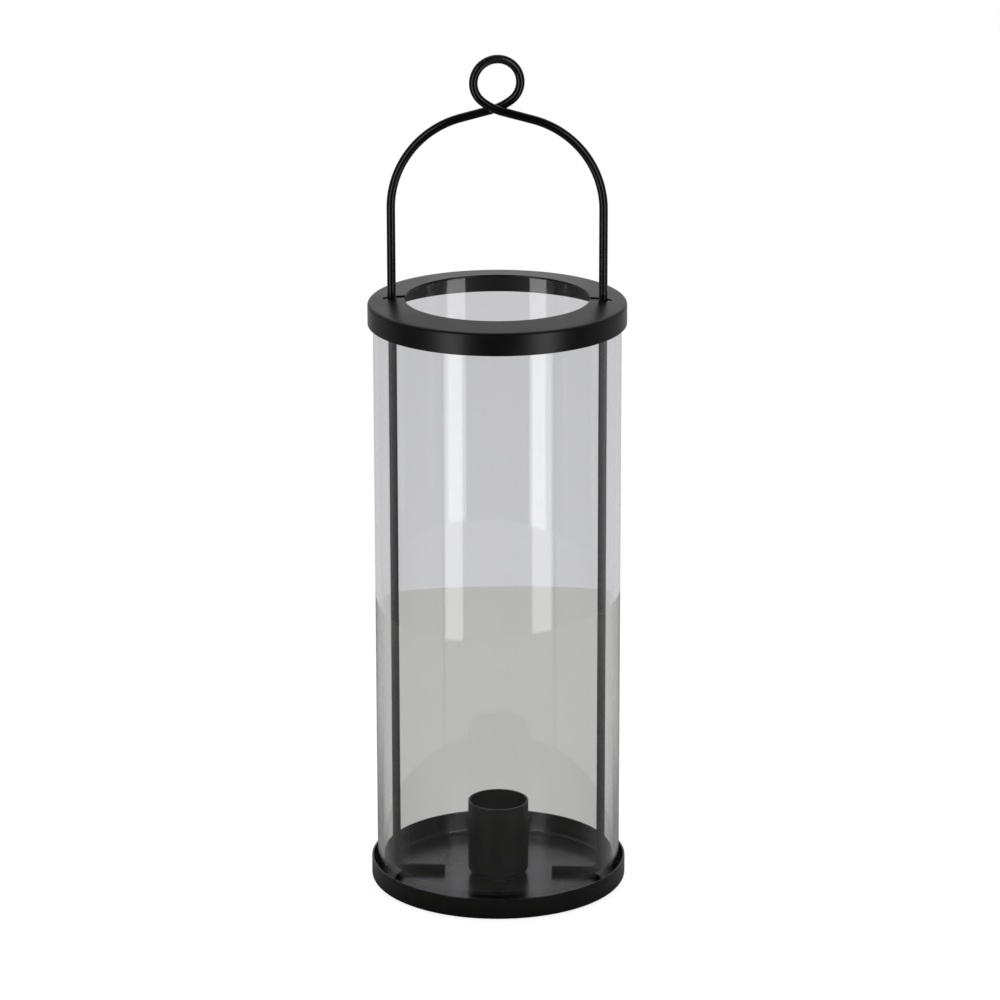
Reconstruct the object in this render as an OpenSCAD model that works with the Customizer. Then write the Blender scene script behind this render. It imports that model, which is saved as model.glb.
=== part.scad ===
// Candle lantern: a pressed tray with a candle socket and a bent wire handle welded on it,
// a loose glass cylinder that stands in the tray, and a loose pressed ring that caps the glass.
// The origin is the middle of the tray's underside. The handle's legs stand on the X axis.

/* [Glass cylinder] */
// Outside diameter of the glass
glass_d = 96.3; // [88:0.1:130]
// Thickness of the glass wall
glass_wall = 2.4; // [1.6:0.1:4]
// Height of the glass, which stands on the tray's floor
glass_h = 235.2; // [160:0.2:320]
// Rounding of the fire-polished edges at both ends of the glass
glass_edge_r = 0.6; // [0.2:0.1:0.7]

/* [Pressed sheet] */
// Thickness of the coated steel sheet of the tray and the ring
sheet = 0.8; // [0.6:0.1:1.5]
// Rounding of the cut edges of the sheet
sheet_edge_r = 0.25; // [0.1:0.05:0.28]

/* [Tray] */
// Height of the tray's rim above the table
rim_h = 8.8; // [5:0.1:20]
// Gap between the glass and the inside of the rim
tray_gap = 1.55; // [1:0.05:4]
// Inside radius of the bend between the tray's floor and its rim
tray_bend_r = 1; // [0.5:0.1:1.8]

/* [Top ring] */
// Height of the ring's skirt, from its lower edge to the top of the bend
skirt_h = 8.8; // [5:0.2:20]
// Gap between the glass and the inside of the skirt
ring_gap = 1.25; // [0.3:0.05:2]
// Width of the ring, from the outside of the skirt to the hole
flange_w = 14.4; // [12.6:0.1:18]
// Slope at which the ring's top face rises from the skirt to the hole, in degrees
flange_slope = 5.5; // [0:0.5:10]
// Gap left under the sloping face where it rests on the edge of the glass
seat_gap = 0.02; // [0.01:0.01:0.1]
// Inside radius of the bend between the ring's top face and its skirt
ring_bend_r = 0.6; // [0.3:0.1:1]
// Gap on each side of a handle leg in its slot
slot_gap = 0.5; // [0.4:0.1:1.5]
// Gap between a handle leg and the closed outer end of its slot
slot_end_gap = 1.8; // [0.5:0.05:2.2]

/* [Candle socket] */
// Diameter of the foot of the candle that the socket takes
candle_d = 22; // [18:0.5:26]
// Gap all round the candle in the socket
candle_gap = 0.2; // [0.1:0.1:0.8]
// Wall of the drawn socket
socket_wall = 0.8; // [0.6:0.1:1.5]
// Height of the socket above the tray's floor
socket_h = 31; // [18:0.2:45]
// Outside radius of the socket's bottom edge
socket_bend_r = 3.5; // [2:0.1:5]

/* [Wire handle] */
// Diameter of the coated wire
wire_d = 3.35; // [2.4:0.05:4.5]
// Gap between a leg and the inside of the glass
leg_gap = 3.2; // [1.5:0.05:6]
// Height of the top of the hanging loop above the top of the glass
handle_rise = 97.1; // [75:0.1:150]
// Radius of each shoulder of the arch, at the middle of the wire
arch_r = 36.5; // [25:0.5:44]
// Slope of the straight arms between the shoulders and the loop, in degrees
arm_slope = 15; // [8:1:22]
// Outside diameter of the hanging loop
loop_d = 21.2; // [17:0.1:30]
// Radius of the curve between an arm and the loop, at the middle of the wire
neck_r = 22; // [12:1:30]
// Slope at which that curve runs into the loop, in degrees
loop_slope = 38; // [28:1:50]
// Gap between the two strands where they cross under the loop
cross_gap = 0.1; // [0.05:0.05:1]
// Length of a foot along the tray's floor, from the middle of its leg
foot_l = 19.5; // [12:0.5:25]
// Inside radius of the bend between a leg and its foot
foot_bend_r = 2.4; // [1:0.1:5]
// Depth by which the spot welds flatten the underside of a foot
weld_flat = 0.15; // [0.05:0.05:0.4]

/* [Hidden] */
$fn = 96;

// How far the ball at each joint of the wire stands proud of it
joint_swell = 0.01;

// Colours of the black coat and of the glass
coat = [0.1, 0.1, 0.11];
smoke = [0.8, 0.83, 0.85, 0.35];

// Radii that follow from the glass and the gaps round it
glass_r = glass_d / 2;
tray_r = glass_r + tray_gap + sheet;
ring_r = glass_r + ring_gap + sheet;
hole_r = ring_r - flange_w;
wire_r = wire_d / 2;
leg_x = glass_r - glass_wall - leg_gap - wire_r;

// Heights above the table
floor_z = sheet;
glass_z = floor_z + glass_h;
top_z = glass_z + handle_rise;
foot_z = floor_z + wire_r - weld_flat;

// Height of the top of the ring's bend, with the sloping face seated on the rounded edge of
// the glass: the middles of the bend and of that edge are this far apart
seat_rise = (ring_bend_r - glass_edge_r - ring_gap) * tan(flange_slope)
    + (glass_edge_r - ring_bend_r + seat_gap) / cos(flange_slope);
ring_z = glass_z - glass_edge_r + seat_rise + ring_bend_r + sheet;

// Socket
bore_r = candle_d / 2 + candle_gap;
socket_r = bore_r + socket_wall;

// Slots of the ring: their width, and the middle of their round outer end
slot_w = wire_d + 2 * slot_gap;
slot_end_x = leg_x + wire_r + slot_end_gap - slot_w / 2;

// Half of the handle, from a leg over to the far side of the loop, is bent in one upright
// plane. The plane is turned about its leg, so that the two strands pass side by side at the
// crossing. In that plane, s is the distance from the leg and z the height.
plane_turn = atan((wire_d + cross_gap) / 2 / leg_x);
loop_r = loop_d / 2 - wire_r;
foot_turn_r = foot_bend_r + wire_r;
arm_l = (leg_x - arch_r * (1 - sin(arm_slope)) - neck_r * (sin(loop_slope) - sin(arm_slope))
    + loop_r * sin(loop_slope)) / cos(arm_slope);
// Rises from the start of the arch to the start of the arm, of the neck and of the loop
arm_rise = arch_r * cos(arm_slope);
neck_rise = arm_rise + arm_l * sin(arm_slope);
loop_rise = neck_rise + neck_r * (cos(arm_slope) - cos(loop_slope));

// The top half of the loop joins the two planes, from one side of the loop to the other
loop_side = [leg_x - (leg_x + loop_r) * cos(plane_turn), -(leg_x + loop_r) * sin(plane_turn)];
crown_r = norm(loop_side);
crown_turn = atan2(loop_side[1], loop_side[0]);
loop_z = top_z - wire_r - crown_r;
arch_z = loop_z - loop_rise - loop_r * cos(loop_slope);

// Outline of a bend of sheet, from a floor that arrives from the left to an upright wall. The
// floor may climb towards the bend at a slope.
module bend_outline(inside_r, thickness, slope) {
    outside_r = inside_r + thickness;
    intersection() {
        difference() {
            circle(r = outside_r);
            circle(r = inside_r);
        }
        translate([0, -outside_r])
            square(outside_r);
        rotate([0, 0, slope])
            translate([0, -outside_r])
                square(outside_r);
    }
}

// Outline of a strip whose two upper corners are rounded
module strip_outline(width, height, corner_r) {
    square([width, height - corner_r]);
    translate([corner_r, 0])
        square([width - 2 * corner_r, height]);
    for (x = [corner_r, width - corner_r])
        translate([x, height - corner_r])
            circle(r = corner_r);
}

// Outline of one side of a dish of sheet: a floor from start_r outwards, a bend and a wall
module dish_outline(start_r, outside_r, height, inside_bend_r, thickness, edge_r, slope = 0) {
    bend_out = inside_bend_r + thickness;
    bend_x = outside_r - bend_out;
    floor_l = (bend_x + inside_bend_r * sin(slope) - start_r) / cos(slope);
    translate([bend_x, bend_out]) {
        rotate([0, 0, slope])
            translate([-floor_l, -bend_out])
                square([floor_l, thickness]);
        bend_outline(inside_bend_r, thickness, slope);
    }
    translate([outside_r - thickness, bend_out])
        strip_outline(thickness, height - bend_out, edge_r);
}

// Piece of wire bent round [s, z] in the upright plane, between two angles
module wire_bend(centre, radius, from, to) {
    translate([centre[0], 0, centre[1]])
        rotate([90, 0, 0])
            rotate([0, 0, from])
                rotate_extrude(angle = to - from)
                    translate([radius, 0])
                        circle(d = wire_d);
}

// Straight piece of wire that starts at [s, z] and climbs at a slope
module wire_run(start, length, slope) {
    translate([start[0], 0, start[1]])
        rotate([0, 90 - slope, 0])
            cylinder(d = wire_d, h = length);
}

// Ball round [s, z] that joins two pieces of wire, a hair thicker than the wire itself
module wire_joint(at) {
    translate([at[0], 0, at[1]])
        sphere(d = wire_d + 2 * joint_swell);
}

// A leg with its foot, from the tip of the foot to the start of the arch
module leg_and_foot() {
    foot_start = [foot_turn_r, foot_z];
    leg_start = [0, foot_z + foot_turn_r];
    wire_run(foot_start, foot_l - foot_turn_r, 0);
    wire_joint(foot_start);
    wire_bend([foot_turn_r, foot_z + foot_turn_r], foot_turn_r, 180, 270);
    wire_joint(leg_start);
    wire_run(leg_start, arch_z - leg_start[1], 90);
}

// Shoulder, arm, neck and lower side of the loop, in their turned plane
module arch_half() {
    arm_start = [arch_r * (1 - sin(arm_slope)), arch_z + arm_rise];
    neck_start = arm_start + arm_l * [cos(arm_slope), sin(arm_slope)];
    neck_centre = neck_start + neck_r * [-sin(arm_slope), cos(arm_slope)];
    loop_centre = [leg_x, loop_z];
    wire_joint([0, arch_z]);
    wire_bend([arch_r, arch_z], arch_r, 90 + arm_slope, 180);
    wire_joint(arm_start);
    wire_run(arm_start, arm_l, arm_slope);
    wire_joint(neck_start);
    wire_bend(neck_centre, neck_r, arm_slope - 90, loop_slope - 90);
    wire_joint(loop_centre + loop_r * [sin(loop_slope), -cos(loop_slope)]);
    wire_bend(loop_centre, loop_r, loop_slope - 90, 0);
    wire_joint(loop_centre + [loop_r, 0]);
}

// One half of the handle. Its s axis points from the leg on +X towards the other leg.
module handle_half() {
    translate([leg_x, 0, 0])
        rotate([0, 0, 180]) {
            leg_and_foot();
            rotate([0, 0, plane_turn])
                arch_half();
        }
}

// Tray: flat floor with a low upright rim, pressed from one sheet
module tray() {
    color(coat)
        rotate_extrude()
            dish_outline(0, tray_r, rim_h, tray_bend_r, sheet, sheet_edge_r);
}

// Candle socket: a drawn cup, spot-welded to the middle of the tray's floor
module candle_socket() {
    color(coat)
        translate([0, 0, floor_z])
            rotate_extrude()
                dish_outline(0, socket_r, socket_h, socket_bend_r - socket_wall, socket_wall,
                    sheet_edge_r);
}

// Handle: one wire from foot to foot, crossed under its loop, with feet that the welds flatten
module handle_wire() {
    color(coat)
        difference() {
            union() {
                for (turn = [0, 180])
                    rotate([0, 0, turn])
                        handle_half();
                translate([0, 0, loop_z])
                    rotate([0, 0, crown_turn])
                        wire_bend([0, 0], crown_r, 0, 180);
            }
            cylinder(r = tray_r, h = floor_z);
        }
}

// Glass: a tube with fire-polished ends, which stands loose on the tray's floor
module glass_cylinder() {
    color(smoke)
        translate([0, 0, floor_z])
            rotate_extrude()
                translate([glass_r - glass_wall, 0]) {
                    translate([0, glass_h / 2])
                        strip_outline(glass_wall, glass_h / 2, glass_edge_r);
                    translate([0, glass_h / 2])
                        mirror([0, 1])
                            strip_outline(glass_wall, glass_h / 2, glass_edge_r);
                }
}

// Ring: a slightly coned top with a skirt outside the glass, and a slot for each leg that opens
// into its hole
module top_ring() {
    color(coat)
        difference() {
            translate([0, 0, ring_z])
                mirror([0, 0, 1])
                    rotate_extrude()
                        dish_outline(hole_r, ring_r, skirt_h, ring_bend_r, sheet, sheet_edge_r,
                            flange_slope);
            for (turn = [0, 180])
                rotate([0, 0, turn])
                    translate([0, 0, ring_z - skirt_h]) {
                        translate([0, -slot_w / 2, 0])
                            cube([slot_end_x, slot_w, 2 * skirt_h]);
                        translate([slot_end_x, 0, 0])
                            cylinder(d = slot_w, h = 2 * skirt_h);
                    }
        }
}

tray();
candle_socket();
handle_wire();
glass_cylinder();
top_ring();
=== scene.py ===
"""Candle lantern: a black pressed tray with a candle socket and a bent wire handle, a glass
cylinder that stands in the tray, and a pressed ring that caps the glass. Metres, Z up."""

import bpy
import numpy as np
from mathutils import Matrix


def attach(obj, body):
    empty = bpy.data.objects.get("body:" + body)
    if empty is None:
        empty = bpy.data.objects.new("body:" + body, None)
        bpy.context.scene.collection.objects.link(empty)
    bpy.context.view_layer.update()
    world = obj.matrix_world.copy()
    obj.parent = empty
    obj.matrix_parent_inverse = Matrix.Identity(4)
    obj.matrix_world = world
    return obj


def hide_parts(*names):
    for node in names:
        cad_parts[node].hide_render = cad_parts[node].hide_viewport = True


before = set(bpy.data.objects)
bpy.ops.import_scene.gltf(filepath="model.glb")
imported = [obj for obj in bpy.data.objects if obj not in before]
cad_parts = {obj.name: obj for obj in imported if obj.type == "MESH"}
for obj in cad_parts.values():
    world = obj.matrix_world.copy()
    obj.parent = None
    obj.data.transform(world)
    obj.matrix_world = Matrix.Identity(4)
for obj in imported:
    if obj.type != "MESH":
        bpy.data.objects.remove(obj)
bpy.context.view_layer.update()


# ---------------------------------------------------------------- Camera
# A long lens about 1.8 m away looks down on the lantern from twice its height. The camera
# stands a little to the right, so that the lantern's right leg is the nearer one.
camera_turn = np.radians(2.51)
camera_aside, camera_back, camera_height = 0.00092, 1.7516, 0.6881
looks_down, leans_right, lens_length = 16.891, 0.102, 168.5
camera_place = (
    Matrix.Rotation(camera_turn, 4, "Z")
    @ Matrix.Translation((camera_aside, -camera_back, camera_height))
)
camera_tilt = Matrix.Rotation(np.radians(90 - looks_down), 4, "X")
camera_roll = Matrix.Rotation(np.radians(-leans_right), 4, "Z")
camera = bpy.data.objects.new("camera", bpy.data.cameras.new("camera"))
bpy.context.scene.collection.objects.link(camera)
camera.matrix_world = camera_place @ camera_tilt @ camera_roll
camera.data.sensor_width = 36
camera.data.lens = lens_length
camera.data.clip_start, camera.data.clip_end = 0.1, 50
bpy.context.scene.camera = camera
bpy.context.scene.view_settings.view_transform = "Standard"


# ---------------------------------------------------------------- Table, backdrop and lamps
# The lantern stands on a round pale table in front of a pale backdrop, between two tall
# softboxes. The black coat mirrors a room that is dim at the sides and dark behind the camera.
# Seen straight through the glass, the backdrop is pale on every side and the table is lit.
table_r, table_x, table_y, table_z = 0.383, 0.009, -0.007, -0.0004
white = (1, 1, 1, 1)
table_colour = (0.86, 0.856, 0.838, 1)
mirrored_table_colour = (0.50, 0.49, 0.47, 1)
table_glow_colour = (1, 0.995, 0.955, 1)
glow_to_camera, glow_through_glass = 0.85, 0.31
front_half_span, back_half_span = (0.03, -0.05), (0.03, 0.2)


def table_top(radius, columns=256):
    """Flat disc, as one face: middle plus radius times cosine and sine of evenly spaced turns."""
    turn = np.linspace(0, 2 * np.pi, columns, endpoint=False)
    rim = [table_x + radius * np.cos(turn), table_y + radius * np.sin(turn)]
    rim = np.stack(rim + [np.full(columns, table_z)], 1)
    mesh = bpy.data.meshes.new("table")
    mesh.from_pydata(rim.tolist(), [], [list(range(columns))])
    return mesh


def scalar(nodes, links, operation, *values):
    """Math node: each value is a number or the output of another node."""
    made = nodes.new("ShaderNodeMath")
    made.operation = operation
    for socket, value in zip(made.inputs, values):
        if isinstance(value, (int, float)):
            socket.default_value = value
        else:
            links.new(value, socket)
    return made.outputs[0]


def smooth_step(nodes, links, value, start, end, at_start=0.0, at_end=1.0):
    """Map Range node that goes smoothly from at_start to at_end as value goes from start to end."""
    made = nodes.new("ShaderNodeMapRange")
    made.interpolation_type = "SMOOTHSTEP"
    for name, number in (("Value", value), ("From Min", start), ("From Max", end),
                         ("To Min", at_start), ("To Max", at_end)):
        if isinstance(number, (int, float)):
            made.inputs[name].default_value = number
        else:
            links.new(number, made.inputs[name])
    return made.outputs["Result"]


def colour_mix(nodes, links, factor, first, second):
    """Mix node from first to second, each of them a colour or the output of another node."""
    made = nodes.new("ShaderNodeMix")
    made.data_type = "RGBA"
    links.new(factor, made.inputs["Factor"])
    for name, colour in (("A", first), ("B", second)):
        if isinstance(colour, tuple):
            made.inputs[name].default_value = colour
        else:
            links.new(colour, made.inputs[name])
    return made.outputs["Result"]


def ray_history(nodes, links):
    """Light Path outputs and two masks: rays that have passed both walls of the glass, which
    takes more than two crossings, and rays that no mirror has turned."""
    rays = nodes.new("ShaderNodeLightPath").outputs
    past_both_walls = scalar(nodes, links, "GREATER_THAN", rays["Transmission Depth"], 2.5)
    unmirrored = scalar(nodes, links, "LESS_THAN", rays["Glossy Depth"], 0.5)
    return rays, past_both_walls, unmirrored


table = bpy.data.objects.new("table", table_top(table_r))
bpy.context.scene.collection.objects.link(table)
table_paint = bpy.data.materials.new("table_paint")
table_paint.use_nodes = True
nodes, links = table_paint.node_tree.nodes, table_paint.node_tree.links
nodes.clear()
# The camera sees the table white, and sees it lit through both walls of the glass. What the
# coat and the near wall mirror of its front half is dimmer.
rays, past_both_walls, unmirrored = ray_history(nodes, links)
place = nodes.new("ShaderNodeTexCoord")
place_parts = nodes.new("ShaderNodeSeparateXYZ")
links.new(place.outputs["Object"], place_parts.inputs[0])
towards_back = place_parts.outputs["Y"]
in_mirror = scalar(nodes, links, "MULTIPLY", rays["Is Glossy Ray"],
                   scalar(nodes, links, "SUBTRACT", 1.0, past_both_walls))
front_half = smooth_step(nodes, links, towards_back, *front_half_span)
dimmed = scalar(nodes, links, "MULTIPLY", in_mirror, front_half)
matt = nodes.new("ShaderNodeBsdfDiffuse")
links.new(colour_mix(nodes, links, dimmed, table_colour, mirrored_table_colour),
          matt.inputs["Color"])
back_half = smooth_step(nodes, links, towards_back, *back_half_span)
lit = scalar(nodes, links, "MAXIMUM", unmirrored, past_both_walls)
lit = scalar(nodes, links, "MAXIMUM", lit, back_half)
lit = scalar(nodes, links, "MULTIPLY", lit, glow_through_glass)
through_glass = scalar(nodes, links, "MULTIPLY", rays["Is Transmission Ray"], lit)
to_camera = scalar(nodes, links, "MULTIPLY", rays["Is Camera Ray"], glow_to_camera)
glow = nodes.new("ShaderNodeEmission")
links.new(colour_mix(nodes, links, rays["Is Camera Ray"], table_glow_colour, white),
          glow.inputs["Color"])
links.new(scalar(nodes, links, "ADD", to_camera, through_glass), glow.inputs["Strength"])
both = nodes.new("ShaderNodeAddShader")
out = nodes.new("ShaderNodeOutputMaterial")
links.new(matt.outputs[0], both.inputs[0])
links.new(glow.outputs[0], both.inputs[1])
links.new(both.outputs[0], out.inputs["Surface"])
table.data.materials.append(table_paint)

backdrop_colour = (0.652, 0.649, 0.668, 1)
upper_backdrop_colour = (0.617, 0.614, 0.632, 1)
side_colour = (0.27, 0.272, 0.275, 1)
room_colour = (0.02, 0.02, 0.02, 1)
backdrop_share, behind_span, central_span = 0.91, (0.2, 0.6), (0.55, 0.3)
dim_side_span, higher_span = (-0.35, 0.6), (-0.30, -0.23)
pale_past_walls_from, fully_pale = -1.5, 0.95

studio = bpy.data.worlds.new("studio")
bpy.context.scene.world = studio
studio.use_nodes = True
nodes, links = studio.node_tree.nodes, studio.node_tree.links
nodes.clear()
# The coat mirrors the dim room, with the backdrop in the middle behind the lantern. Rays in the
# glass see the backdrop on every side, or only towards the back once a mirror has turned them.
rays, past_both_walls, unmirrored = ray_history(nodes, links)
heading = nodes.new("ShaderNodeTexCoord")
heading_parts = nodes.new("ShaderNodeSeparateXYZ")
links.new(heading.outputs["Generated"], heading_parts.inputs[0])
sideways, backwards, upwards = heading_parts.outputs
aside = scalar(nodes, links, "ABSOLUTE", sideways)
behind = smooth_step(nodes, links, backwards, *behind_span)
central = smooth_step(nodes, links, aside, *central_span, 0.0, backdrop_share)
on_backdrop = scalar(nodes, links, "MULTIPLY", behind, central)
dim_side = smooth_step(nodes, links, backwards, *dim_side_span)
dim_room = colour_mix(nodes, links, dim_side, room_colour, side_colour)
coat_room = colour_mix(nodes, links, on_backdrop, dim_room, backdrop_colour)
pale_from = scalar(nodes, links, "MULTIPLY", past_both_walls, pale_past_walls_from)
pale_side = smooth_step(nodes, links, backwards, pale_from, fully_pale)
pale = scalar(nodes, links, "MAXIMUM", pale_side, unmirrored)
higher = smooth_step(nodes, links, upwards, *higher_span)
far_wall = colour_mix(nodes, links, higher, backdrop_colour, upper_backdrop_colour)
glass_room = colour_mix(nodes, links, pale, room_colour, far_wall)
room = colour_mix(nodes, links, rays["Is Singular Ray"], coat_room, glass_room)
sky = nodes.new("ShaderNodeBackground")
out = nodes.new("ShaderNodeOutputWorld")
links.new(colour_mix(nodes, links, rays["Is Camera Ray"], room, white), sky.inputs["Color"])
links.new(sky.outputs[0], out.inputs["Surface"])


lamp_low, lamp_high, lamp_away = -0.6, 1.3, 1.3


def softbox(name, turn, width, radiance):
    """Upright rectangular lamp that faces the lantern, at a turn from the camera's side.
    Its power is pi times its area times its radiance."""
    lamp = bpy.data.lights.new(name, "AREA")
    lamp.shape = "RECTANGLE"
    lamp.size, lamp.size_y = width, lamp_high - lamp_low
    lamp.energy = np.pi * lamp.size * lamp.size_y * radiance
    holder = bpy.data.objects.new(name, lamp)
    bpy.context.scene.collection.objects.link(holder)
    holder.matrix_world = (
        Matrix.Rotation(camera_turn + np.radians(turn), 4, "Z")
        @ Matrix.Translation((0, -lamp_away, (lamp_low + lamp_high) / 2))
        @ Matrix.Rotation(np.radians(90), 4, "X")
    )


softbox("softbox_left", turn=-41.35, width=0.40, radiance=2.25)
softbox("softbox_right", turn=41.7, width=0.44, radiance=2.1)


# ---------------------------------------------------------------- Tray
# Flat floor with a low upright rim, pressed from 0.8 mm steel sheet and powder-coated satin
# black. The glass stands loose on it, and the socket and the feet of the handle are welded to it.
tray_r, rim_h, sheet, tray_bend, sheet_edge = 0.0505, 0.0088, 0.0008, 0.001, 0.00025


def arc(centre_r, centre_z, radius, start, end, count):
    """Points of an arc in the [r, z] plane: centre plus radius times cosine and sine."""
    turn = np.radians(np.linspace(start, end, count))
    return np.stack([centre_r + radius * np.cos(turn), centre_z + radius * np.sin(turn)], 1)


def dish_profile(outside_r, height, thickness, bend_r, edge_r):
    """Half section of a pressed dish from the middle of its underside to the middle of its
    floor: floor, outer bend, wall, two rounded edges, wall and inner bend, in order. The
    floor's points are share ** 0.7 of the way out, so they lie closer towards the bend."""
    outer_bend = bend_r + thickness
    middle = outside_r - outer_bend
    inner_wall = outside_r - thickness
    out_and_back = np.linspace(0, 1, 15)[:-1] ** 0.7 * middle
    rise = np.linspace(outer_bend, height - edge_r, 12)[1:-1]
    return np.concatenate([
        np.stack([out_and_back, 0 * out_and_back], 1),
        arc(middle, outer_bend, outer_bend, -90, 0, 17),
        np.stack([0 * rise + outside_r, rise], 1),
        arc(outside_r - edge_r, height - edge_r, edge_r, 0, 90, 9),
        arc(inner_wall + edge_r, height - edge_r, edge_r, 90, 180, 9),
        np.stack([0 * rise + inner_wall, rise[::-1]], 1),
        arc(middle, outer_bend, bend_r, 0, -90, 17),
        np.stack([out_and_back[::-1], 0 * out_and_back + thickness], 1),
    ])


def profile_normals(profile, closed):
    """Outward normal at each profile point: the mean direction of the two segments that meet
    there, turned a quarter clockwise. It is upright where a profile ends on the axis."""
    steps = np.diff(np.vstack([profile, profile[:1]]), axis=0)
    steps /= np.maximum(np.linalg.norm(steps, axis=1, keepdims=True), 1e-12)
    mean = steps + np.roll(steps, 1, 0)
    if not closed:
        mean[0], mean[-1] = steps[0], steps[-2]
    mean /= np.linalg.norm(mean, axis=1, keepdims=True)
    return np.stack([mean[:, 1], -mean[:, 0]], 1)


def skin(name, points, normals, faces):
    """Smooth mesh object from points, unit normals and faces, at the origin."""
    mesh = bpy.data.meshes.new(name)
    mesh.from_pydata(points.tolist(), [], faces)
    mesh.polygons.foreach_set("use_smooth", np.ones(len(mesh.polygons), bool))
    mesh.normals_split_custom_set_from_vertices(normals.tolist())
    piece = bpy.data.objects.new(name, mesh)
    bpy.context.scene.collection.objects.link(piece)
    return piece


def grid_faces(rows, columns, closed_rows):
    """Quads between neighbouring rows and columns of a grid whose columns close on themselves."""
    row, column = np.meshgrid(
        np.arange(rows if closed_rows else rows - 1), np.arange(columns), indexing="ij"
    )
    row, column = row.ravel(), column.ravel()
    after, beside = (row + 1) % rows, (column + 1) % columns
    corners = [row * columns + column, row * columns + beside]
    corners += [after * columns + beside, after * columns + column]
    return np.stack(corners, 1).tolist()


def end_fans(rows, columns):
    """Triangles that close the first and last row of a grid. Each row has one more point of its
    own, and the two points come after the grid's."""
    here = np.arange(columns)
    beside = (here + 1) % columns
    first, last, top = rows * columns, rows * columns + 1, (rows - 1) * columns
    return (np.stack([here * 0 + first, beside, here], 1).tolist()
            + np.stack([here * 0 + last, top + here, top + beside], 1).tolist())


def turned(name, profile, columns=384):
    """Profile turned round the Z axis: [r cos t, r sin t, z]. A closed profile makes a ring.
    One that starts and ends on the axis is closed there by a fan round one point."""
    poles = profile[0, 0] < 1e-9
    across = profile_normals(profile, not poles)
    if poles:
        ends, end_normals = profile[[0, -1]], across[[0, -1]]
        profile, across = profile[1:-1], across[1:-1]
    rows = len(profile)
    turn = np.linspace(0, 2 * np.pi, columns, endpoint=False)
    ones = np.ones(columns)
    spin = np.stack([np.cos(turn), np.sin(turn)], 1)

    def spun(pairs):
        flat = pairs[:, :1, None] * spin[None]
        return np.concatenate([flat, (pairs[:, 1:] * ones)[..., None]], 2).reshape(-1, 3)

    points, normals = spun(profile), spun(across)
    faces = grid_faces(rows, columns, not poles)
    if poles:
        points = np.vstack([points, [[0, 0, ends[0, 1]], [0, 0, ends[1, 1]]]])
        normals = np.vstack([normals, [[0, 0, end_normals[0, 1]], [0, 0, end_normals[1, 1]]]])
        faces += end_fans(rows, columns)
    return skin(name, points, normals, faces)


tray = turned("tray_pressing", dish_profile(tray_r, rim_h, sheet, tray_bend, sheet_edge))

coat_colour, handled_colour = (0.0035, 0.0035, 0.0034, 1), (0.0055, 0.0055, 0.0053, 1)
# The first colour on the next line lightens the top edges: partly rubbed wear, partly a painted
# highlight. The second is dust.
rub_and_highlight_colour, dust_colour = (0.03, 0.0295, 0.0285, 1), (0.22, 0.21, 0.19, 1)
peel_scale, handling_scale, film_scale, rub_and_highlight_scale, speck_scale = 420, 45, 90, 700, 160
film_share, speck_share, dust_roughness, handled_share = 0.02, 2.4, 0.15, 0.35
# Depth of the lighter band at the top edges, which is partly rubbed wear and partly a painted
# highlight.
rub_and_highlight_depth = 0.0004


def group_socket(group, name, direction, kind, value=None):
    """A named input or output of a node group, with its starting value."""
    made = group.interface.new_socket(name, in_out=direction, socket_type=kind)
    if value is not None:
        made.default_value = value


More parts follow.
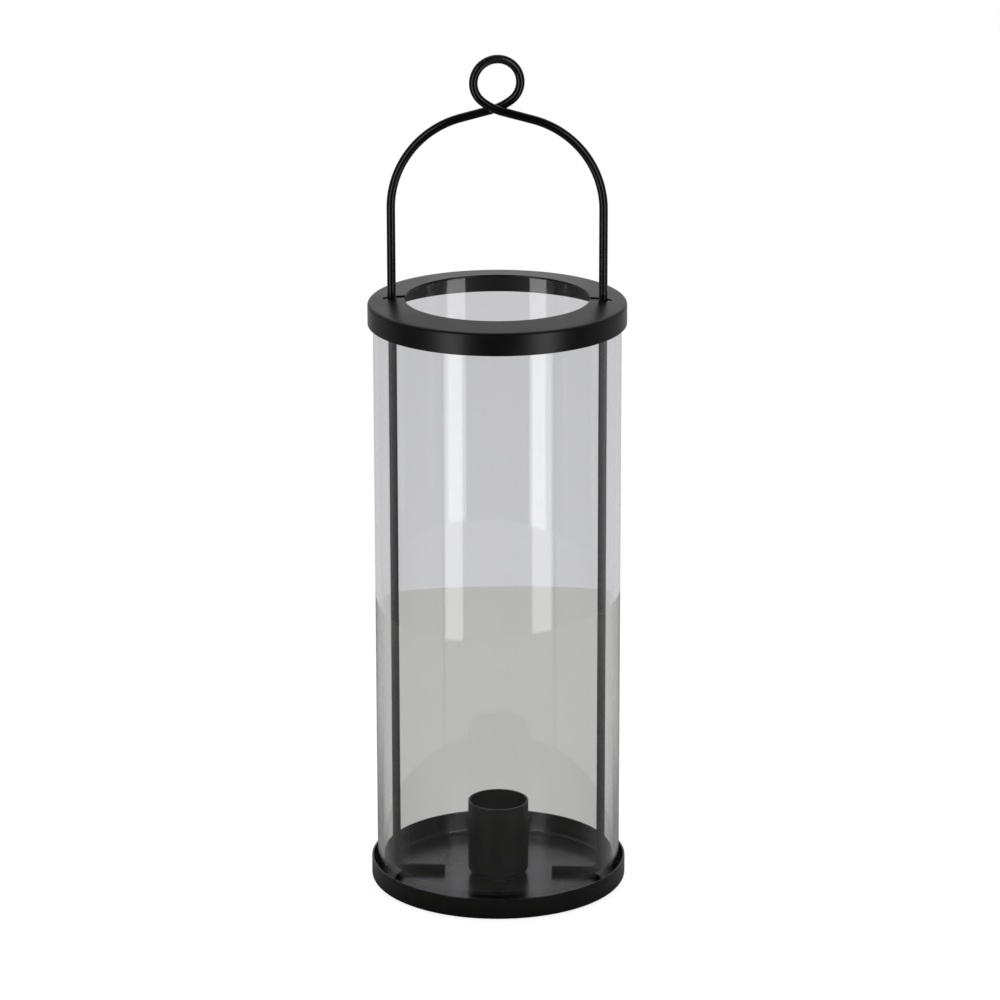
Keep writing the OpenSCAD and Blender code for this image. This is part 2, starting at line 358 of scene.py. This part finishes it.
def coat_grain_group():
    """Satin powder coat: a fine orange peel as height, roughness that varies with handling, a
    thin film of dust with a few specks in it, and top edges made lighter, partly as rubbed wear and
    partly as a painted highlight."""
    group = bpy.data.node_groups.new("coat_grain", "ShaderNodeTree")
    group_socket(group, "Coat", "INPUT", "NodeSocketColor", coat_colour)
    group_socket(group, "Rub and highlight", "INPUT", "NodeSocketFloat", 0.0)
    group_socket(group, "Dust", "INPUT", "NodeSocketFloat", 0.0)
    group_socket(group, "Smooth", "INPUT", "NodeSocketFloat", 0.27)
    group_socket(group, "Rough", "INPUT", "NodeSocketFloat", 0.33)
    group_socket(group, "Color", "OUTPUT", "NodeSocketColor")
    group_socket(group, "Roughness", "OUTPUT", "NodeSocketFloat")
    group_socket(group, "Height", "OUTPUT", "NodeSocketFloat")
    nodes, links = group.nodes, group.links
    given, given_out = nodes.new("NodeGroupInput"), nodes.new("NodeGroupOutput")
    place = nodes.new("ShaderNodeTexCoord")

    def noise(scale, detail):
        made = nodes.new("ShaderNodeTexNoise")
        made.inputs["Scale"].default_value = scale
        made.inputs["Detail"].default_value = detail
        links.new(place.outputs["Object"], made.inputs["Vector"])
        return made.outputs["Fac"]

    def math(operation, first, second):
        return scalar(nodes, links, operation, first, second)

    def spread(value, low, high, to_low=0.0, to_high=1.0):
        return smooth_step(nodes, links, value, low, high, to_low, to_high)

    peel, handling = noise(peel_scale, 2), noise(handling_scale, 4)
    links.new(peel, given_out.inputs["Height"])

    cells = nodes.new("ShaderNodeTexVoronoi")
    cells.inputs["Scale"].default_value = speck_scale
    links.new(place.outputs["Object"], cells.inputs["Vector"])
    cell_pick = nodes.new("ShaderNodeSeparateXYZ")
    links.new(cells.outputs["Color"], cell_pick.inputs[0])
    speck = math("MULTIPLY", spread(cells.outputs["Distance"], 0.07, 0.03),
                 spread(cell_pick.outputs["X"], 0.97, 0.98))
    film = spread(noise(film_scale, 3), 0.45, 0.8, 0.0, film_share)
    lying = math("ADD", film, math("MULTIPLY", speck, speck_share))
    dusty = math("MULTIPLY", lying, given.outputs["Dust"])
    # Lighter band at the top edges, broken up by noise: partly rubbed wear, partly a painted
    # highlight.
    rubbed_and_highlit = math("MULTIPLY", spread(noise(rub_and_highlight_scale, 3), 0.35, 0.65), given.outputs["Rub and highlight"])

    handled = spread(handling, 0.3, 0.7, 0.0, handled_share)
    clean = colour_mix(nodes, links, handled, given.outputs["Coat"], handled_colour)
    worn_and_highlit = colour_mix(nodes, links, rubbed_and_highlit, clean, rub_and_highlight_colour)
    links.new(colour_mix(nodes, links, dusty, worn_and_highlit, dust_colour), given_out.inputs["Color"])
    satin = spread(handling, 0.3, 0.7, given.outputs["Smooth"], given.outputs["Rough"])
    links.new(math("ADD", satin, math("MULTIPLY", dusty, dust_roughness)),
              given_out.inputs["Roughness"])
    return group


coat_grain = coat_grain_group()


def coat(name, rub_and_highlight, dust, smooth, rough, peel):
    """Black powder coat that takes its colour, roughness and height from coat_grain. The second
    argument holds two heights: where the lighter top-edge band starts, and where it is strongest.
    That band is partly rubbed wear and partly a painted highlight. smooth and rough are its least
    and greatest roughness, and peel is the depth of its orange peel."""
    material = bpy.data.materials.new(name)
    material.use_nodes = True
    nodes, links = material.node_tree.nodes, material.node_tree.links
    shader = nodes["Principled BSDF"]
    grain = nodes.new("ShaderNodeGroup")
    grain.node_tree = coat_grain
    grain.inputs["Coat"].default_value = coat_colour
    grain.inputs["Dust"].default_value = dust
    grain.inputs["Smooth"].default_value = smooth
    grain.inputs["Rough"].default_value = rough
    place = nodes.new("ShaderNodeTexCoord")
    parts = nodes.new("ShaderNodeSeparateXYZ")
    links.new(place.outputs["Object"], parts.inputs[0])
    # The lighter top-edge band, partly rubbed wear and partly a painted highlight, rises between
    # the two given heights.
    links.new(smooth_step(nodes, links, parts.outputs["Z"], *rub_and_highlight), grain.inputs["Rub and highlight"])
    relief = nodes.new("ShaderNodeBump")
    relief.inputs["Strength"].default_value = 1.0
    relief.inputs["Distance"].default_value = peel
    links.new(grain.outputs["Height"], relief.inputs["Height"])
    links.new(relief.outputs["Normal"], shader.inputs["Normal"])
    links.new(grain.outputs["Color"], shader.inputs["Base Color"])
    links.new(grain.outputs["Roughness"], shader.inputs["Roughness"])
    return material


# The top edge of the tray's rim is painted lighter: rubbed wear and a painted highlight along the
# edge.
tray.data.materials.append(coat(
    "tray_coat", (rim_h - rub_and_highlight_depth, rim_h), dust=0.35, smooth=0.22, rough=0.28, peel=0.000002
))
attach(tray, "base")
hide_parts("tray")


# ---------------------------------------------------------------- Candle socket
# Cup drawn from 0.8 mm steel with a rounded bottom edge, coated with the tray and spot-welded
# to the middle of its floor. A taper candle 22 mm thick stands in it.
socket_r, socket_h, socket_wall, socket_bend = 0.012, 0.031, 0.0008, 0.0027
socket_top = sheet + socket_h
cup = dish_profile(socket_r, socket_h, socket_wall, socket_bend, sheet_edge) + [0, sheet]
socket = turned("candle_cup", cup, 256)
# The socket's lip is painted lighter: rubbed wear and a painted highlight along the lip.
socket.data.materials.append(coat(
    "socket_coat", (socket_top - rub_and_highlight_depth, socket_top),
    dust=0.2, smooth=0.33, rough=0.42, peel=0.000004,
))
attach(socket, "base")
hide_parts("candle_socket")


# ---------------------------------------------------------------- Wire handle
# One 3.35 mm steel wire, bent cold from foot to foot and coated: foot, leg, shoulder, arm, a
# loop where the two strands cross side by side, and down again. Both feet are spot-welded.
wire_r, leg_x, foot_z, foot_turn, foot_l = 0.001675, 0.040875, 0.002325, 0.004075, 0.0195
arch_r, arm_slope, neck_r, loop_slope, loop_r = 0.0365, 15, 0.022, 38, 0.008925
# The last number on the next line lets the lighter band at the top of the loop, partly rubbed wear
# and partly a painted highlight, run past the top.
top_z, cross_gap, tip_round, rub_and_highlight_past_top = 0.3331, 0.0001, 0.0003, 0.004
plane_turn = np.arctan((2 * wire_r + cross_gap) / 2 / leg_x)
arm_sin, arm_cos = np.sin(np.radians(arm_slope)), np.cos(np.radians(arm_slope))
loop_sin, loop_cos = np.sin(np.radians(loop_slope)), np.cos(np.radians(loop_slope))
arm_l = leg_x - arch_r * (1 - arm_sin) - neck_r * (loop_sin - arm_sin) + loop_r * loop_sin
arm_l /= arm_cos
loop_rise = arch_r * arm_cos + arm_l * arm_sin + neck_r * (arm_cos - loop_cos)
side_x = leg_x - (leg_x + loop_r) * np.cos(plane_turn)
side_y = -(leg_x + loop_r) * np.sin(plane_turn)
crown_r, crown_turn = np.hypot(side_x, side_y), np.arctan2(side_y, side_x)
loop_z = top_z - wire_r - crown_r
arch_z = loop_z - loop_rise - loop_r * loop_cos


def bend_line(centre, radius, start, end, count):
    """Arc in the handle's upright plane as rows [s, z, ds, dz]: place and direction of travel."""
    turn = np.radians(np.linspace(start, end, count))
    way = np.sign(end - start)
    return np.stack([centre[0] + radius * np.cos(turn), centre[1] + radius * np.sin(turn),
                     -way * np.sin(turn), way * np.cos(turn)], 1)


def straight_line(start, end, count):
    """Straight run as rows [s, z, ds, dz], without its two ends."""
    run = np.subtract(end, start)
    share = np.linspace(0, 1, count)[1:-1, None]
    way = run / np.linalg.norm(run)
    return np.hstack([np.add(start, share * run), 0 * share + way])


def in_plane(rows, turn):
    """Rows [s, z, ds, dz] stood up in the plane that leaves the right leg towards -X, turned by
    turn about that leg. Returns places, directions and the plane's normal for each row."""
    out_s = np.array([-np.cos(turn), -np.sin(turn), 0])
    up, right_leg = np.array([0, 0, 1.0]), np.array([leg_x, 0, 0])
    place = right_leg + rows[:, :1] * out_s + rows[:, 1:2] * up
    way = rows[:, 2:3] * out_s + rows[:, 3:4] * up
    return np.stack([place, way, np.tile(np.cross(out_s, up), (len(rows), 1))])


def half_turn(line):
    """The same line turned half way round the Z axis and run the other way."""
    back = line[:, ::-1] * [-1, -1, 1]
    return np.stack([back[0], -back[1], -back[2]])


def handle_line():
    """Middle line of the wire from the right foot to the left one, as places, directions and
    plane normals. Half of it is worked out, and the other half is that half turned round."""
    shoulder_end = [arch_r * (1 - arm_sin), arch_z + arch_r * arm_cos]
    neck_start = np.add(shoulder_end, [arm_l * arm_cos, arm_l * arm_sin])
    neck_centre = np.add(neck_start, [-neck_r * arm_sin, neck_r * arm_cos])
    foot = in_plane(np.vstack([
        [foot_l, foot_z, -1, 0],
        straight_line([foot_l, foot_z], [foot_turn, foot_z], 16),
        bend_line([foot_turn, foot_z + foot_turn], foot_turn, 270, 180, 20),
        straight_line([0, foot_z + foot_turn], [0, arch_z], 40),
    ]), 0)
    arch = in_plane(np.vstack([
        bend_line([arch_r, arch_z], arch_r, 180, 90 + arm_slope, 60),
        straight_line(shoulder_end, neck_start, 8),
        bend_line(neck_centre, neck_r, arm_slope - 90, loop_slope - 90, 16)[:-1],
        bend_line([leg_x, loop_z], loop_r, loop_slope - 90, 0, 40),
    ]), plane_turn)
    turn = np.linspace(0, np.pi, 60)[1:-1]
    across = np.array([np.cos(crown_turn), np.sin(crown_turn), 0])
    up = np.array([0, 0, 1.0])
    rise, run = np.sin(turn)[:, None], np.cos(turn)[:, None]
    crown = np.stack([
        [0, 0, loop_z] + crown_r * (run * across + rise * up),
        run * up - rise * across,
        np.tile(np.cross(across, up), (len(turn), 1)),
    ])
    first = np.concatenate([foot, arch], 1)
    return np.concatenate([first, crown, half_turn(first)], 1)


def swept_wire(name, line, radius, tip, columns=40, tip_rows=6):
    """Round wire along a line: place plus radius times (normal cos a + crosswise sin a). At
    each tip the radius shrinks along a quarter circle, and a fan round one point closes it.
    Nothing reaches below the tray's floor, where the feet are flattened for the weld."""
    place, way, across = line
    bend, run = np.linspace(0, np.pi / 2, tip_rows), np.zeros(len(place) - 2)
    forth, pull = tip * (1 - np.cos(bend)), tip * (1 - np.sin(bend))
    ahead = np.concatenate([forth, run, -forth[::-1]])
    thinner = np.concatenate([pull, run, pull[::-1]])
    slant = np.concatenate([-np.cos(bend), run, np.cos(bend[::-1])])
    final = len(place) - 1
    index = np.concatenate([[0] * tip_rows, np.arange(1, final), [final] * tip_rows])
    place, way, across = place[index], way[index], across[index]
    middle = place + ahead[:, None] * way
    crosswise = np.cross(way, across)
    turn = np.linspace(0, 2 * np.pi, columns, endpoint=False)
    around = (across[:, None] * np.cos(turn)[None, :, None]
              + crosswise[:, None] * np.sin(turn)[None, :, None])
    points = middle[:, None] + (radius - thinner)[:, None, None] * around
    normals = (around * np.sqrt(1 - slant ** 2)[:, None, None]
               + way[:, None] * slant[:, None, None])
    rows = len(place)
    ends = np.stack([place[0], place[-1]])
    points = np.vstack([points.reshape(-1, 3), ends])
    normals = np.vstack([normals.reshape(-1, 3), [-way[0], way[-1]]])
    faces = grid_faces(rows, columns, False) + end_fans(rows, columns)
    points[:, 2] = np.maximum(points[:, 2], sheet)
    return skin(name, points, normals, faces)


handle = swept_wire("bent_wire", handle_line(), wire_r, tip_round)
# The loop is painted lighter towards its top: rubbed wear and a painted highlight.
handle.data.materials.append(coat(
    "handle_coat", (loop_z, top_z + rub_and_highlight_past_top),
    dust=0.15, smooth=0.19, rough=0.25, peel=0.0000015,
))
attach(handle, "base")
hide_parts("handle_wire")


# ---------------------------------------------------------------- Glass cylinder
# Clear drawn tube, 96.3 mm across with a 2.4 mm wall, cut and fire-polished at both ends. It
# stands loose on the tray, inside its rim.
glass_r, glass_wall, glass_h, glass_edge, glass_bead = 0.04815, 0.0024, 0.2352, 0.0006, 0.00006
clear_tint, faint_tint = (0.993, 0.996, 0.996, 1), (0.975, 0.981, 0.983, 1)
passing_tint = (0.985, 0.989, 0.992, 1)
draw_line_scale, draw_line_stretch, draw_line_depth = 110, 0.06, 0.000004
least_mirror, mirror_power, mirror_softness = 0.1, 4.0, 0.1


def tube_profile(outside_r, wall, low, high, edge_r, crown):
    """Closed section of a tube: two upright walls, four rounded corners, and ends that rise
    towards the middle of the wall by crown, as a fire-polished end does."""
    inside_r = outside_r - wall
    rise = np.linspace(low + edge_r, high - edge_r, 60)[1:-1]
    side = edge_r - crown
    share = np.linspace(-1, 1, 7)[1:-1]
    flat_r = (inside_r + outside_r) / 2 + share * (wall / 2 - edge_r)
    bulge = crown * (1 - share ** 2)

    def corner(centre_r, centre_z, start, end):
        turn = np.radians(np.linspace(start, end, 11))
        return np.stack([centre_r + edge_r * np.cos(turn), centre_z + side * np.sin(turn)], 1)

    return np.concatenate([
        corner(outside_r - edge_r, low + edge_r, -90, 0),
        np.stack([0 * rise + outside_r, rise], 1),
        corner(outside_r - edge_r, high - edge_r, 0, 90),
        np.stack([flat_r[::-1], high - crown + bulge], 1),
        corner(inside_r + edge_r, high - edge_r, 90, 180),
        np.stack([0 * rise + inside_r, rise[::-1]], 1),
        corner(inside_r + edge_r, low + edge_r, 180, 270),
        np.stack([flat_r, low + crown - bulge], 1),
    ])


glass = turned("glass_tube", tube_profile(
    glass_r, glass_wall, sheet, sheet + glass_h, glass_edge, glass_bead
), 512)

# The camera sees real glass. The lamps' light passes straight through it, and so does what the
# coat mirrors, apart from the share that the wall mirrors back on the side it is met from.
clear = bpy.data.materials.new("drawn_glass")
clear.use_nodes = True
nodes, links = clear.node_tree.nodes, clear.node_tree.links
shader, out = nodes["Principled BSDF"], nodes["Material Output"]
shader.inputs["Roughness"].default_value = 0.0
shader.inputs["IOR"].default_value = 1.5
shader.inputs["Transmission Weight"].default_value = 1.0
place = nodes.new("ShaderNodeTexCoord")
drawn = nodes.new("ShaderNodeMapping")
drawn.inputs["Scale"].default_value = (1, 1, draw_line_stretch)
links.new(place.outputs["Object"], drawn.inputs["Vector"])
draw_lines = nodes.new("ShaderNodeTexNoise")
draw_lines.inputs["Scale"].default_value = draw_line_scale
draw_lines.inputs["Detail"].default_value = 2
links.new(drawn.outputs[0], draw_lines.inputs["Vector"])
ripple = nodes.new("ShaderNodeBump")
ripple.inputs["Strength"].default_value = 1.0
ripple.inputs["Distance"].default_value = draw_line_depth
links.new(draw_lines.outputs["Fac"], ripple.inputs["Height"])
links.new(ripple.outputs["Normal"], shader.inputs["Normal"])
links.new(colour_mix(nodes, links, draw_lines.outputs["Fac"], clear_tint, faint_tint),
          shader.inputs["Base Color"])
passing = nodes.new("ShaderNodeBsdfTransparent")
passing.inputs["Color"].default_value = passing_tint
mirror = nodes.new("ShaderNodeBsdfGlossy")
mirror.inputs["Roughness"].default_value = mirror_softness
rays = nodes.new("ShaderNodeLightPath").outputs
near_side = scalar(nodes, links, "SUBTRACT", 1.0,
                   nodes.new("ShaderNodeNewGeometry").outputs["Backfacing"])
slant = nodes.new("ShaderNodeLayerWeight")
slant.inputs["Blend"].default_value = 0.5
grazing = scalar(nodes, links, "POWER", slant.outputs["Facing"], mirror_power)
wall_mirror = scalar(nodes, links, "MULTIPLY_ADD", grazing, 1 - least_mirror, least_mirror)
wall_mirror = scalar(nodes, links, "MULTIPLY", wall_mirror, near_side)
from_coat = scalar(nodes, links, "SUBTRACT", rays["Is Glossy Ray"], rays["Is Singular Ray"])
mirrored = scalar(nodes, links, "MULTIPLY", wall_mirror, from_coat)
light_ray = scalar(nodes, links, "MAXIMUM", rays["Is Shadow Ray"], rays["Is Diffuse Ray"])
light_ray = scalar(nodes, links, "MAXIMUM", light_ray, from_coat)
wall = nodes.new("ShaderNodeMixShader")
links.new(mirrored, wall.inputs["Fac"])
links.new(passing.outputs[0], wall.inputs[1])
links.new(mirror.outputs[0], wall.inputs[2])
pick = nodes.new("ShaderNodeMixShader")
links.new(light_ray, pick.inputs["Fac"])
links.new(shader.outputs[0], pick.inputs[1])
links.new(wall.outputs[0], pick.inputs[2])
links.new(pick.outputs[0], out.inputs["Surface"])
glass.data.materials.append(clear)
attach(glass, "glass")
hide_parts("glass_cylinder")


# ---------------------------------------------------------------- Top ring
# Pressed from the same sheet as the tray: a slightly coned top with a skirt outside the glass,
# and two stamped slots that let the legs through and open into the hole. It rests loose on the
# rounded edge of the glass.
ring_r, hole_r, skirt_h, ring_bend, ring_gap = 0.0502, 0.0358, 0.0088, 0.0006, 0.00125
flange_slope, seat_gap = np.radians(5.5), 0.00002
slot_half, slot_end_x, corner_round, stamped_edge = 0.002175, 0.042175, 0.0004, 0.0002
# Heights of the lighter band round the hole's edge, which is partly rubbed wear and partly a
# painted highlight.
hole_rub_and_highlight_low, hole_rub_and_highlight_high = 0.0009, 0.0013
cone_sin, cone_cos, cone_tan = np.sin(flange_slope), np.cos(flange_slope), np.tan(flange_slope)
seat_rise = (ring_bend - glass_edge - ring_gap) * cone_tan
seat_rise += (glass_edge - ring_bend + seat_gap) / cone_cos
ring_z = sheet + glass_h - glass_edge + seat_rise + ring_bend + sheet


def hole_outline():
    """Outline of the hole with its two slots as places and in-plane normals into the metal.
    A quarter runs round a slot's end, along its side, round the corner and along the hole.
    The other three quarters mirror it."""
    corner_y = slot_half + corner_round
    corner_x = np.sqrt((hole_r + corner_round) ** 2 - corner_y ** 2)
    lean = np.arctan2(corner_y, corner_x)
    end_turn = np.linspace(0, np.pi / 2, 15)[:, None]
    end_way = np.hstack([np.cos(end_turn), np.sin(end_turn)])
    side_x = np.linspace(slot_end_x, corner_x, 10)[1:-1, None]
    corner_turn = np.linspace(np.pi / 2, lean, 8)[:, None]
    corner_way = np.hstack([np.cos(corner_turn), np.sin(corner_turn)])
    hole_turn = (lean + (np.pi / 2 - lean) * np.linspace(0, 1, 110))[1:, None]
    hole_way = np.hstack([np.cos(hole_turn), np.sin(hole_turn)])
    places = np.vstack([
        [slot_end_x, 0] + slot_half * end_way,
        np.hstack([side_x, 0 * side_x + slot_half]),
        [corner_x, corner_y] - corner_round * corner_way,
        hole_r * hole_way,
    ])
    ways = np.vstack([end_way, np.hstack([0 * side_x, 0 * side_x + 1]), corner_way, hole_way])
    both = np.stack([places, ways])
    half = np.concatenate([both, both[:, -2:0:-1] * [-1, 1]], 1)
    mirrored = np.stack([[-slot_end_x - slot_half, 0], [-1, 0]])[:, None]
    half = np.concatenate([half, mirrored], 1)
    lower = half[:, -2:0:-1] * [1, -1]
    return np.concatenate([half, lower], 1)


def ring_surface(name):
    """Closed rows round the hole's outline. Face rows run straight out at each point's own turn
    and fall with the cone, edge rows round off the outline, and bend and skirt rows are
    circles."""
    outline, inward = hole_outline()
    columns = len(outline)
    inset = outline + stamped_edge * inward
    turn = np.arctan2(inset[:, 1], inset[:, 0])
    spin = np.stack([np.cos(turn), np.sin(turn)], 1)
    inset_r = np.linalg.norm(inset, axis=1)
    outer_bend, bend_start = ring_bend + sheet, ring_r - ring_bend - sheet
    bend_z, low = ring_z - outer_bend, ring_z - skirt_h
    cone_up = np.hstack([cone_sin * spin, np.full((columns, 1), cone_cos)])

    def face(bend_radius, share):
        start_r = bend_start + bend_radius * cone_sin
        start_z = bend_z + bend_radius * cone_cos
        face_r = inset_r + share * (start_r - inset_r)
        heights = start_z + (start_r - face_r) * cone_tan
        return np.concatenate([face_r[..., None] * spin, heights[..., None]], 2)

    def circles(rows):
        across = profile_normals(rows, False)
        flat, tilt = rows[:, :1, None] * spin, across[:, :1, None] * spin
        high = np.ones((1, columns, 1))
        return (np.concatenate([flat, rows[:, 1:, None] * high], 2),
                np.concatenate([tilt, across[:, 1:, None] * high], 2))

    def edge(angles, start):
        bend = np.radians(angles)[:, None, None]
        side = np.hstack([inward, np.zeros((columns, 1))])
        tip = np.sign(angles.sum())
        heights = stamped_edge * (np.sin(bend) - tip) * cone_up
        return (start - stamped_edge * np.cos(bend) * side + heights,
                np.sin(bend) * cone_up - np.cos(bend) * side)

    fall = np.linspace(bend_z, low + sheet_edge, 12)[1:-1]
    upright = 90 - np.degrees(flange_slope)
    skirt_points, skirt_normals = circles(np.concatenate([
        arc(bend_start, bend_z, ring_bend, upright, 0, 12),
        np.stack([0 * fall + ring_r - sheet, fall], 1),
        arc(ring_r - sheet + sheet_edge, low + sheet_edge, sheet_edge, 180, 270, 8),
        arc(ring_r - sheet_edge, low + sheet_edge, sheet_edge, 270, 360, 8),
        np.stack([0 * fall + ring_r, fall[::-1]], 1),
        arc(bend_start, bend_z, outer_bend, 0, upright, 16),
    ]))
    share = np.linspace(0, 1, 9)[:-1, None]
    under, top = face(ring_bend, share), face(outer_bend, share[::-1])
    facing_up = np.broadcast_to(cone_up, under[1:].shape)
    upper_edge, upper_normals = edge(np.linspace(90, 0, 7), top[-1])
    lower_edge, lower_normals = edge(np.linspace(0, -90, 7), under[0])
    points = np.concatenate([under[1:], skirt_points, top[:-1], upper_edge, lower_edge])
    normals = np.concatenate([-facing_up, skirt_normals, facing_up, upper_normals, lower_normals])
    faces = grid_faces(len(points), columns, True)
    return skin(name, points.reshape(-1, 3), normals.reshape(-1, 3), faces)


ring = ring_surface("ring_pressing")
# The flange is painted lighter towards the hole's edge: rubbed wear and a painted highlight.
ring.data.materials.append(coat(
    "ring_coat", (ring_z + hole_rub_and_highlight_low, ring_z + hole_rub_and_highlight_high),
    dust=0.3, smooth=0.32, rough=0.38, peel=0.000003,
))
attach(ring, "ring")
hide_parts("top_ring")
